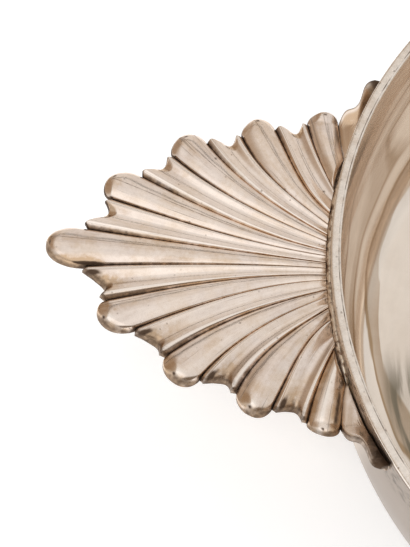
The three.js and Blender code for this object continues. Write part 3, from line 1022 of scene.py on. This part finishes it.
def colourFlute(c):
    t, half = earColouring, c.half
    addMark(c, "filmAndPaintedLight", "fluteEnd", np.exp(-c.fromEnd / 6))
    cover(c, "filmAndPaintedLight", t["wallFilm"] * np.maximum(smoothStep(c.scooped, 0.02, 0.12), c.wall))
    cover(c, "grimeAndPaintedShade", t["wallDarkening"] * c.wall * smoothStep(c.shares, 0.35, 0.95))
    cover(c, "wearAndPaintedLight", t["ridgeWear"] * c.ridge)
    place, long, wide, level = t["corner"][half]
    corner = np.hypot((c.fromEnd - 1.2) / long, (c.share - place) * 2 * c.widths)
    cover(c, "grimeAndPaintedShade", level * spot(corner, 0, wide))
    if c.isNear:
        addMark(c, "filmAndPaintedLight", "trough", np.exp(-c.fromEnd / 4.5))
        cover(c, "grimeAndPaintedShade", 0.66 * np.exp(-c.fromEnd / 2.4) * (1 - c.wall))


def colourLeaf(c):
    cover(c, "grimeAndPaintedShade", 0.4 * np.exp(-c.fromRoot / 0.9))
    # painted shade along the leaf's side by the wall
    cover(c, "grimeAndPaintedShade", 0.9 * spot(1 - c.share, 0, earColouring["leafWallShade"][c.half]))
    cover(c, "wearAndPaintedLight", 0.7 * spot(c.fromEnd, 0.7, 0.4))
    # the near leaf painted lighter: painted light against the dark it reflects
    cover(c, "wearAndPaintedLight", earColouring["leafLightening"][c.half])


def colourLayers(c):
    # dark dirt in the low places, brown film where a cloth seldom rubs, and wear on what stands out, with
    # painted shade under the edges, painted highlights on the near noses and painted reflections on the
    # facets and along the lobes
    t, half = earColouring, c.half
    outer = t["outerFilm"][c.index][half] * (t["fluteShare"] if c.isFlute else 1.0)
    c.layers = {
        "grimeAndPaintedShade": mixed(*t["grooveGrime"], c.shares ** 3) * spot(c.beside, 0, c.spread * 0.8),
        "filmAndPaintedLight": np.full(len(c.shares), outer),
        "wearAndPaintedLight": np.zeros(len(c.shares)),
        "crest": np.full(len(c.shares), farOff),     # distance from the painted reflection line along a lobe
    }
    cover(c, "grimeAndPaintedShade", 0.3 * np.exp(-c.fromRoot / 0.25))
    if c.facesMiddle or c.isFlute:
        cover(c, "filmAndPaintedLight", 0.5 * spot(c.beside, 0, c.spread * 1.6) * c.shares ** 2)
    {"lobe": colourLobe, "flute": colourFlute, "leaf": colourLeaf}[c.kind](c)
    # the edge's steep faces are painted dark and brown: painted shade
    turnedOver = smoothStep(c.lip, *((0.0, 1.0) if c.isNearLobe else (0.1, 0.5)))
    if c.index == 0 and not c.isNear:
        turnedOver *= 0.6
    cover(c, "grimeAndPaintedShade", t["edgeShade"][half] * smoothStep(turnedOver, 0.2, 1.0))
    cover(c, "filmAndPaintedLight", turnedOver)


def earLoop(column, isNear):
    # one loop of points: out along the top, round the edge, and back underneath
    s = earShape
    c = startRun(column, isNear)
    top = np.column_stack((c.points, reliefHeights(c)))
    colourLayers(c)
    underSteps = np.linspace(0, 1, earMesh["underRows"] + 1)
    underShares = (1 - min(s["undercut"] / c.length, 0.3)) * (1 - underSteps)
    underPoints = rayPoints(c.line, underShares)
    thickness = mixed(s["rootThickness"], s["edgeThickness"], np.minimum(1, underShares / s["thinFrom"]))
    under = np.column_stack((underPoints, groundHeights(underPoints) - thickness))
    edge = np.array((mixed(top[-1], under[0], 0.12), mixed(top[-1], under[0], 0.7)))
    edge[:, 2] -= 0.12
    loop = np.vstack((top, edge, under, top[:1]))
    extra = len(loop) - len(top)

    c.layers["crest"] = np.where(c.fromEnd > 0.5, c.layers["crest"], farOff)
    # the underside and the lower edge are painted dark and brown: painted shade
    below = {"grimeAndPaintedShade": 0.4, "filmAndPaintedLight": 1.0, "wearAndPaintedLight": 0.0, "crest": farOff}
    layers = {name: np.pad(c.layers[name], (0, extra), constant_values=below[name]) for name in below}
    layers["grimeAndPaintedShade"][len(top):len(top) + 2] = earColouring["underEdge"][c.half], 0.5
    layers["grimeAndPaintedShade"][-1] = layers["grimeAndPaintedShade"][0]
    layers["crest"] *= mm
    side = -1 if isNear else 1
    flow = np.column_stack((c.fromRoot, np.full(len(top), (c.flow + 3) * side), np.zeros(len(top))))
    layers["flow"] = np.pad(flow, ((0, extra), (0, 0)), mode="edge") * mm
    return np.column_stack((-(loop[:, 0] + rimOut), loop[:, 1] * side, loop[:, 2])) * mm, layers


def makeEar(name, turned):
    half = earColumns()
    loops = [earLoop(column, False) for column in reversed(half[1:])]
    loops += [earLoop(column, True) for column in half]
    rows = len(loops[0][0])
    deselectAll()
    bpy.ops.mesh.primitive_grid_add(x_subdivisions=rows - 1, y_subdivisions=len(loops) - 1, size=1)
    ear = startPiece(name)
    mesh = ear.data
    mesh.vertices.foreach_set("co", np.concatenate([points for points, layers in loops]).ravel())
    for layer in loops[0][1]:
        kind, field = ("FLOAT_VECTOR", "vector") if layer == "flow" else ("FLOAT", "value")
        fillAttribute(mesh, layer, kind, field, np.concatenate([layers[layer] for points, layers in loops]))
    if turned:
        mesh.transform(Matrix.Rotation(math.pi, 4, "Z"))
    cleanMesh(ear, 0.0000005)
    bpy.ops.object.mode_set(mode="EDIT")
    bpy.ops.mesh.select_all(action="DESELECT")
    bpy.ops.mesh.select_non_manifold(extend=False)
    bpy.ops.mesh.edge_face_add()
    bpy.ops.mesh.select_all(action="SELECT")
    bpy.ops.mesh.normals_make_consistent(inside=False)
    bpy.ops.object.mode_set(mode="OBJECT")
    smoothByAngle(ear, 40)
    mesh.materials.append(castSilver)
    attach(ear, "root")
    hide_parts("ear_right" if turned else "ear_left")


makeEar("fan_ear_left", False)
makeEar("fan_ear_right", True)
print("ears made")


# Solder: a bead spun round the wall at each ear's root, and pressed to the root's height
seamShape = {
    "width": 1.1 * mm,
    "depth": 1.0 * mm,
    "climb": 1.6 * mm,       # how far it climbs the wall
    "climbCurve": 1.5,
    "stretch": (2.4, 1.5),   # down and up
    "leafDrop": 0.7 * mm,
    "inWall": 0.04,          # share of its width that lies in the wall
    "sides": 16,
    "steps": 120,
    "endAcross": 41.8,
}


def makeSeam(name, turned):
    s = seamShape
    deselectAll()
    middle = wallRadius + s["width"] * (0.5 - s["inWall"])
    endAngle = math.asin(s["endAcross"] * mm / middle)
    bpy.ops.mesh.primitive_circle_add(
        vertices=s["sides"], radius=s["width"] / 2, fill_type="NGON", location=(0, 0, 0))
    seam = startPiece(name)
    stand = Matrix.Rotation(math.pi - endAngle, 4, "Z") @ Matrix.Translation((middle, 0, 0))
    seam.data.transform(stand @ Matrix.Rotation(math.pi / 2, 4, "X"))
    bpy.ops.object.mode_set(mode="EDIT")
    bpy.ops.mesh.select_all(action="SELECT")
    bpy.ops.mesh.spin(steps=s["steps"], angle=-endAngle * 2, center=(0, 0, 0), axis=(0, 0, 1))
    bpy.ops.object.mode_set(mode="OBJECT")
    for vertex in seam.data.vertices:
        co = vertex.co
        ground = groundHeights(np.array([[abs(co.x) / mm - rimOut, co.y / mm]]))[0] * mm
        besideLeaf = float(smoothStep(abs(co.y) / mm, *leafHug[:2]))
        inward = min(1, max(0, (middle + s["width"] / 2 - co.xy.length) / s["width"]))
        climb = s["climb"] * inward ** s["climbCurve"] * (1 - besideLeaf) if co.z > 0 else 0
        stretch = s["stretch"][0 if co.z < 0 else 1]
        co.z = ground - s["depth"] - s["leafDrop"] * besideLeaf + co.z * stretch + climb
    if turned:
        seam.data.transform(Matrix.Rotation(math.pi, 4, "Z"))
    cleanMesh(seam, 0.000001)
    smoothByAngle(seam, 60)
    seam.data.materials.append(solder)
    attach(seam, "root")
    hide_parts("solder_seam_right" if turned else "solder_seam_left")


makeSeam("solder_bead_left", False)
makeSeam("solder_bead_right", True)
print("solder made")


# Floor, world and lamps
studioLight = {
    "floor": (0.86, 0.86, 0.86),
    "floorGlow": 0.36,
    "sky": [(0.0, 0.72), (0.3, 0.78), (0.6, 0.78), (0.8, 0.82), (0.93, 0.88), (1.0, 0.88)],   # height, level
    # colour, direction, and the cosines between which each wall of the studio fades in
    "walls": [
        ((0.80, 0.775, 0.75), (0, 1, 0.35), 0.5, 0.85),           # behind
        ((0.20, 0.155, 0.115), (0.55, -0.8, 0.2), 0.8, 0.92),     # dark and low in front
        ((1.12, 1.12, 1.12), (0, -0.5, 0.87), 0.82, 0.94),        # bright and high in front
        ((0.46, 0.37, 0.29), (-0.8, 0.42, 0.5), 0.6, 0.9),        # brown, at the left
    ],
    "slit": ((0.1, 1, 0.6), 0.78, 0.92),
    "slitHeight": 0.60,
    "slitWidth": 0.036,
    "slitDark": 0.15,
    "room": 0.62,
    # place, size and power
    "lamps": [("softKey", (-0.5, -0.7, 1.5), 0.9, 9), ("softFill", (0.7, 0.5, 1.3), 0.8, 4)],
    "lampAim": (0, 0, 0.02),
}


def makeFloor():
    s = studioLight
    deselectAll()
    bpy.ops.mesh.primitive_plane_add(size=6, location=(0, 0, 0))
    floor = startPiece("pale_floor")
    material = bpy.data.materials.new("paleFloor")
    material.use_nodes = True
    tree = material.node_tree
    tree.nodes.clear()
    paths = addNode(tree, "ShaderNodeLightPath").outputs
    rays = (paths[name] for name in ("Is Camera Ray", "Is Glossy Ray", "Is Transmission Ray"))
    seen = addMath("ADD", *rays, clamp=True)
    matt = addNode(tree, "ShaderNodeBsdfDiffuse", {"Color": s["floor"]}).outputs[0]
    glow = addNode(tree, "ShaderNodeEmission", {"Strength": product(seen, s["floorGlow"])}).outputs[0]
    both = addNode(tree, "ShaderNodeAddShader", {0: matt, 1: glow}).outputs[0]
    addNode(tree, "ShaderNodeOutputMaterial", {"Surface": both})
    floor.data.materials.append(material)


def addSector(direction, axis, outer, inner):
    # 1 near a direction, fading to 0 past the outer limit
    feeds = {0: direction, 1: tuple(Vector(axis).normalized())}
    return addFade(addVectorMath("DOT_PRODUCT", feeds, "Value"), outer, inner)


def makeWorld():
    # the room is plain white to the camera, and a studio in what shines or lets light through
    s = studioLight
    world = bpy.data.worlds.new("studio")
    scene.world = world
    world.use_nodes = True
    tree = world.node_tree
    tree.nodes.clear()
    direction = addNode(tree, "ShaderNodeTexCoord").outputs["Generated"]
    height = addNode(tree, "ShaderNodeSeparateXYZ", {0: direction}).outputs["Z"]
    sky = addRamp(height, s["sky"])
    for colour, *sector in s["walls"]:
        sky = addMix(addSector(direction, *sector), sky, colour)
    band = addMath("ABSOLUTE", addMath("SUBTRACT", height, s["slitHeight"]))
    slit = product(addRange(band, s["slitWidth"], s["slitWidth"] * 0.5), addSector(direction, *s["slit"]))
    sky = addVectorMath("SCALE", {0: sky, "Scale": addRange(slit, 0, 1, 1, s["slitDark"])})
    paths = addNode(tree, "ShaderNodeLightPath").outputs
    shiny = addMath("ADD", paths["Is Glossy Ray"], paths["Is Transmission Ray"], clamp=True)
    level = addRange(paths["Is Camera Ray"], 0, 1, s["room"], 1.0)
    plain = addNode(tree, "ShaderNodeBackground", {"Color": (1, 1, 1), "Strength": level}).outputs[0]
    studio = addNode(tree, "ShaderNodeBackground", {"Color": sky}).outputs[0]
    pick = addNode(tree, "ShaderNodeMixShader", {0: shiny, 1: plain, 2: studio}).outputs[0]
    addNode(tree, "ShaderNodeOutputWorld", {"Surface": pick})


def makeLamps():
    for name, place, size, power in studioLight["lamps"]:
        data = bpy.data.lights.new(name, "AREA")
        data.shape = "DISK"
        data.size = size
        data.energy = power
        lamp = bpy.data.objects.new(name, data)
        scene.collection.objects.link(lamp)
        lamp.visible_glossy = False
        lamp.location = place
        lamp.rotation_mode = "QUATERNION"
        aim = Vector(studioLight["lampAim"]) - Vector(place)
        lamp.rotation_quaternion = aim.to_track_quat("-Z", "Y")


makeFloor()
makeWorld()
makeLamps()
scene.view_settings.view_transform = "Standard"
print("studio set")
